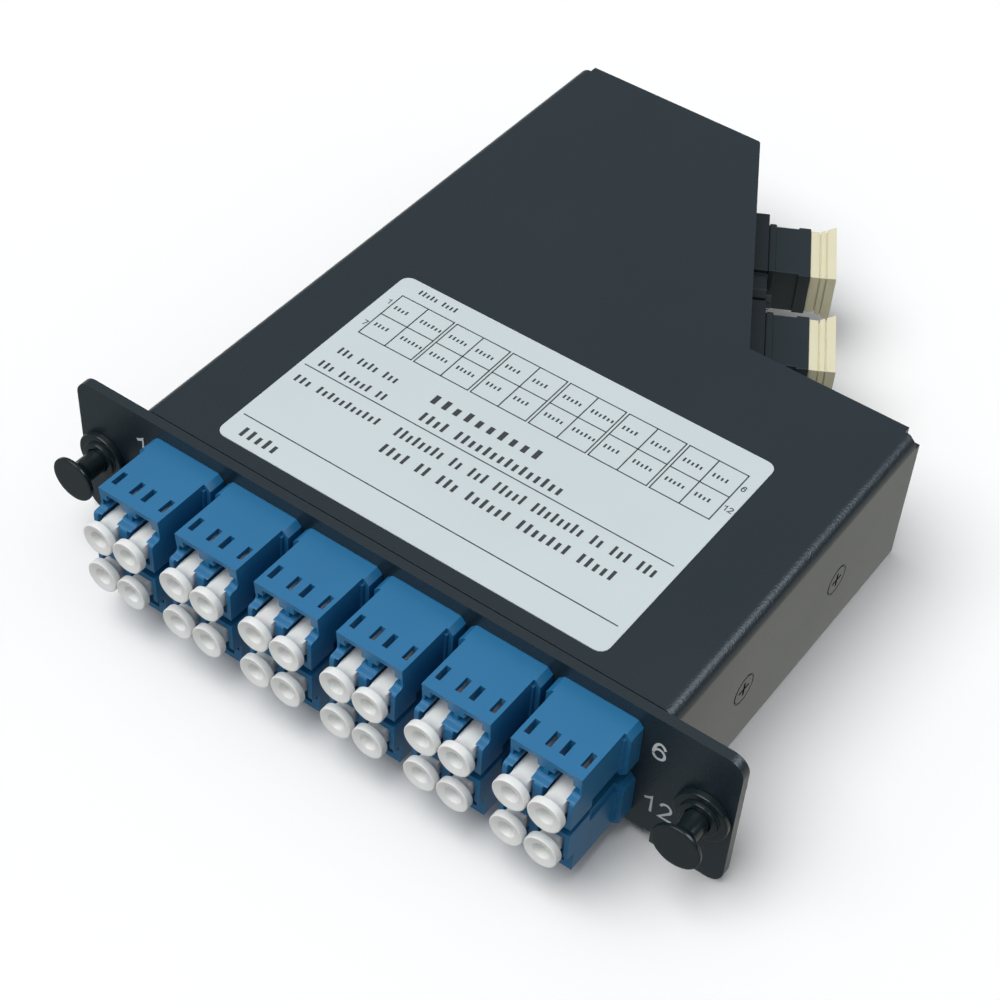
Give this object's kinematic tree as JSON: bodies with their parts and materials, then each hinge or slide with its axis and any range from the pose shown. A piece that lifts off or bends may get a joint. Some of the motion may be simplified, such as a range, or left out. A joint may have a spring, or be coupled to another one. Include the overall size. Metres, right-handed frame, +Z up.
{
  "type": "fibre cassette",
  "caption": "Slim steel fibre cassette: a front plate of duplex ports with dust caps, push latches at both ends and multi-fibre adapters on a slanted rear wall.",
  "frame": {"origin": "midway between the two latch pins, on the rear face of the front plate", "axes": "+X along the front plate to the right as seen from the front, +Y rearwards into the cassette, +Z up"},
  "size_m": [0.13, 0.1492, 0.029],
  "materials": {
    "powder_coated_steel": "fine textured charcoal powder coat",
    "label_paper": "matt printed film",
    "blue_plastic": "satin moulded plastic",
    "white_cap_plastic": "smooth soft plastic",
    "black_nylon": "smooth moulded nylon",
    "black_zinc_steel": "black plated",
    "mpo_housing_plastic": "satin moulded plastic",
    "ivory_cap_plastic": "smooth soft plastic",
    "connector_plastic": "moulded plastic",
    "fibre_jacket": "smooth jacket"
  },
  "bodies": {
    "cassette": {"base_tray": "powder_coated_steel", "top_cover": "powder_coated_steel", "label_sticker": "label_paper", "lc_adapter_01": "blue_plastic", "lc_adapter_02": "blue_plastic", "lc_adapter_03": "blue_plastic", "lc_adapter_04": "blue_plastic", "lc_adapter_05": "blue_plastic", "lc_adapter_06": "blue_plastic", "lc_adapter_07": "blue_plastic", "lc_adapter_08": "blue_plastic", "lc_adapter_09": "blue_plastic", "lc_adapter_10": "blue_plastic", "lc_adapter_11": "blue_plastic", "lc_adapter_12": "blue_plastic", "latch_grommet_left": "black_nylon", "latch_grommet_right": "black_nylon", "cover_screws": "black_zinc_steel", "mpo_adapter_a": "mpo_housing_plastic", "mpo_adapter_b": "mpo_housing_plastic", "mpo_screws": "black_zinc_steel", "inner_plugs_upper": "connector_plastic", "inner_plugs_lower": "connector_plastic", "mpo_plug_a": "connector_plastic", "mpo_plug_b": "connector_plastic", "fibre_loom_a": "fibre_jacket", "fibre_loom_b": "fibre_jacket", "fibre_tails": "fibre_jacket"},
    "plunger_left": {"latch_plunger_left": "black_nylon"},
    "plunger_right": {"latch_plunger_right": "black_nylon"},
    "cap_01": {"lc_dust_cap_01": "white_cap_plastic"},
    "cap_02": {"lc_dust_cap_02": "white_cap_plastic"},
    "cap_03": {"lc_dust_cap_03": "white_cap_plastic"},
    "cap_04": {"lc_dust_cap_04": "white_cap_plastic"},
    "cap_05": {"lc_dust_cap_05": "white_cap_plastic"},
    "cap_06": {"lc_dust_cap_06": "white_cap_plastic"},
    "cap_07": {"lc_dust_cap_07": "white_cap_plastic"},
    "cap_08": {"lc_dust_cap_08": "white_cap_plastic"},
    "cap_09": {"lc_dust_cap_09": "white_cap_plastic"},
    "cap_10": {"lc_dust_cap_10": "white_cap_plastic"},
    "cap_11": {"lc_dust_cap_11": "white_cap_plastic"},
    "cap_12": {"lc_dust_cap_12": "white_cap_plastic"},
    "cap_13": {"lc_dust_cap_13": "white_cap_plastic"},
    "cap_14": {"lc_dust_cap_14": "white_cap_plastic"},
    "cap_15": {"lc_dust_cap_15": "white_cap_plastic"},
    "cap_16": {"lc_dust_cap_16": "white_cap_plastic"},
    "cap_17": {"lc_dust_cap_17": "white_cap_plastic"},
    "cap_18": {"lc_dust_cap_18": "white_cap_plastic"},
    "cap_19": {"lc_dust_cap_19": "white_cap_plastic"},
    "cap_20": {"lc_dust_cap_20": "white_cap_plastic"},
    "cap_21": {"lc_dust_cap_21": "white_cap_plastic"},
    "cap_22": {"lc_dust_cap_22": "white_cap_plastic"},
    "cap_23": {"lc_dust_cap_23": "white_cap_plastic"},
    "cap_24": {"lc_dust_cap_24": "white_cap_plastic"},
    "mpo_cap_a": {"mpo_dust_cap_a": "ivory_cap_plastic"},
    "mpo_cap_b": {"mpo_dust_cap_b": "ivory_cap_plastic"}
  },
  "joints": [
    {"name": "latch_push_left", "type": "slide", "parent": "cassette", "child": "plunger_left", "axis": [0, 1, 0], "range_m": [0, 0.0035]},
    {"name": "latch_push_right", "type": "slide", "parent": "cassette", "child": "plunger_right", "axis": [0, 1, 0], "range_m": [0, 0.0035]},
    {"name": "cap_pull_01", "type": "slide", "parent": "cassette", "child": "cap_01", "axis": [0, -1, 0], "range_m": [0, 0.014]},
    {"name": "cap_pull_02", "type": "slide", "parent": "cassette", "child": "cap_02", "axis": [0, -1, 0], "range_m": [0, 0.014]},
    {"name": "cap_pull_03", "type": "slide", "parent": "cassette", "child": "cap_03", "axis": [0, -1, 0], "range_m": [0, 0.014]},
    {"name": "cap_pull_04", "type": "slide", "parent": "cassette", "child": "cap_04", "axis": [0, -1, 0], "range_m": [0, 0.014]},
    {"name": "cap_pull_05", "type": "slide", "parent": "cassette", "child": "cap_05", "axis": [0, -1, 0], "range_m": [0, 0.014]},
    {"name": "cap_pull_06", "type": "slide", "parent": "cassette", "child": "cap_06", "axis": [0, -1, 0], "range_m": [0, 0.014]},
    {"name": "cap_pull_07", "type": "slide", "parent": "cassette", "child": "cap_07", "axis": [0, -1, 0], "range_m": [0, 0.014]},
    {"name": "cap_pull_08", "type": "slide", "parent": "cassette", "child": "cap_08", "axis": [0, -1, 0], "range_m": [0, 0.014]},
    {"name": "cap_pull_09", "type": "slide", "parent": "cassette", "child": "cap_09", "axis": [0, -1, 0], "range_m": [0, 0.014]},
    {"name": "cap_pull_10", "type": "slide", "parent": "cassette", "child": "cap_10", "axis": [0, -1, 0], "range_m": [0, 0.014]},
    {"name": "cap_pull_11", "type": "slide", "parent": "cassette", "child": "cap_11", "axis": [0, -1, 0], "range_m": [0, 0.014]},
    {"name": "cap_pull_12", "type": "slide", "parent": "cassette", "child": "cap_12", "axis": [0, -1, 0], "range_m": [0, 0.014]},
    {"name": "cap_pull_13", "type": "slide", "parent": "cassette", "child": "cap_13", "axis": [0, -1, 0], "range_m": [0, 0.014]},
    {"name": "cap_pull_14", "type": "slide", "parent": "cassette", "child": "cap_14", "axis": [0, -1, 0], "range_m": [0, 0.014]},
    {"name": "cap_pull_15", "type": "slide", "parent": "cassette", "child": "cap_15", "axis": [0, -1, 0], "range_m": [0, 0.014]},
    {"name": "cap_pull_16", "type": "slide", "parent": "cassette", "child": "cap_16", "axis": [0, -1, 0], "range_m": [0, 0.014]},
    {"name": "cap_pull_17", "type": "slide", "parent": "cassette", "child": "cap_17", "axis": [0, -1, 0], "range_m": [0, 0.014]},
    {"name": "cap_pull_18", "type": "slide", "parent": "cassette", "child": "cap_18", "axis": [0, -1, 0], "range_m": [0, 0.014]},
    {"name": "cap_pull_19", "type": "slide", "parent": "cassette", "child": "cap_19", "axis": [0, -1, 0], "range_m": [0, 0.014]},
    {"name": "cap_pull_20", "type": "slide", "parent": "cassette", "child": "cap_20", "axis": [0, -1, 0], "range_m": [0, 0.014]},
    {"name": "cap_pull_21", "type": "slide", "parent": "cassette", "child": "cap_21", "axis": [0, -1, 0], "range_m": [0, 0.014]},
    {"name": "cap_pull_22", "type": "slide", "parent": "cassette", "child": "cap_22", "axis": [0, -1, 0], "range_m": [0, 0.014]},
    {"name": "cap_pull_23", "type": "slide", "parent": "cassette", "child": "cap_23", "axis": [0, -1, 0], "range_m": [0, 0.014]},
    {"name": "cap_pull_24", "type": "slide", "parent": "cassette", "child": "cap_24", "axis": [0, -1, 0], "range_m": [0, 0.014]},
    {"name": "mpo_cap_pull_a", "type": "slide", "parent": "cassette", "child": "mpo_cap_a", "axis": [0.8721, 0.4894, 0], "range_m": [0, 0.01]},
    {"name": "mpo_cap_pull_b", "type": "slide", "parent": "cassette", "child": "mpo_cap_b", "axis": [0.8721, 0.4894, 0], "range_m": [0, 0.01]}
  ]
}
